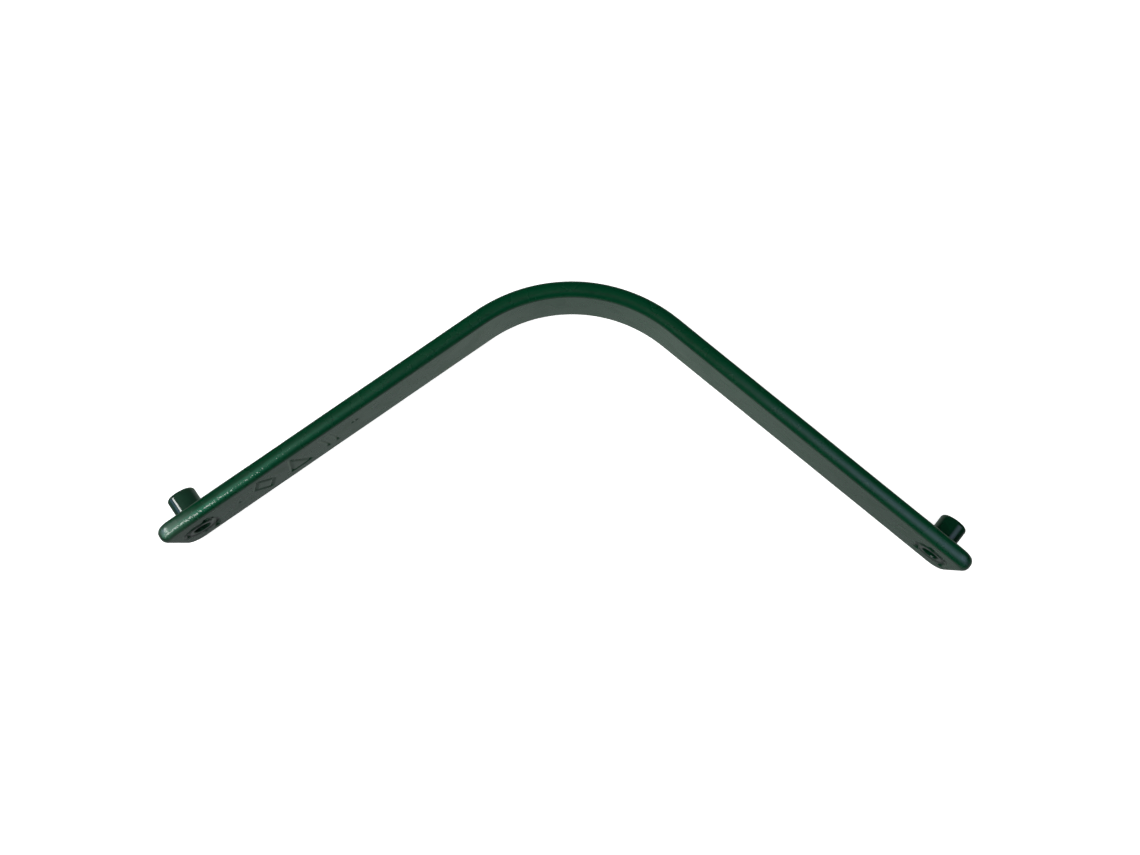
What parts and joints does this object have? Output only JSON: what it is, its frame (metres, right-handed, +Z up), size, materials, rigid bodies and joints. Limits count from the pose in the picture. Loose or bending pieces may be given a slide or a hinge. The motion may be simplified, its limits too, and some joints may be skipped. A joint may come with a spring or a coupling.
{
  "type": "v-shaped climbing rung",
  "caption": "Flat steel bar bent into a wide V, with a short hollow spigot welded through each end so that it can be located and bolted between two posts or beams.",
  "frame": {"origin": "middle of the length and depth, on the surface the bar's lower long edge lies on", "axes": "+X along the length towards the right spigot, +Y towards the bend, out of the V, +Z up across the bar's width"},
  "size_m": [0.3834, 0.131, 0.04],
  "materials": {
    "bar_paint": "gloss",
    "spigot_paint": "gloss",
    "weld_paint": "gloss"
  },
  "bodies": {
    "root": {"bent_bar": "bar_paint", "left_spigot": "spigot_paint", "right_spigot": "spigot_paint", "left_plug_weld": "weld_paint", "right_plug_weld": "weld_paint", "left_fillet_weld": "weld_paint", "right_fillet_weld": "weld_paint"}
  },
  "joints": []
}
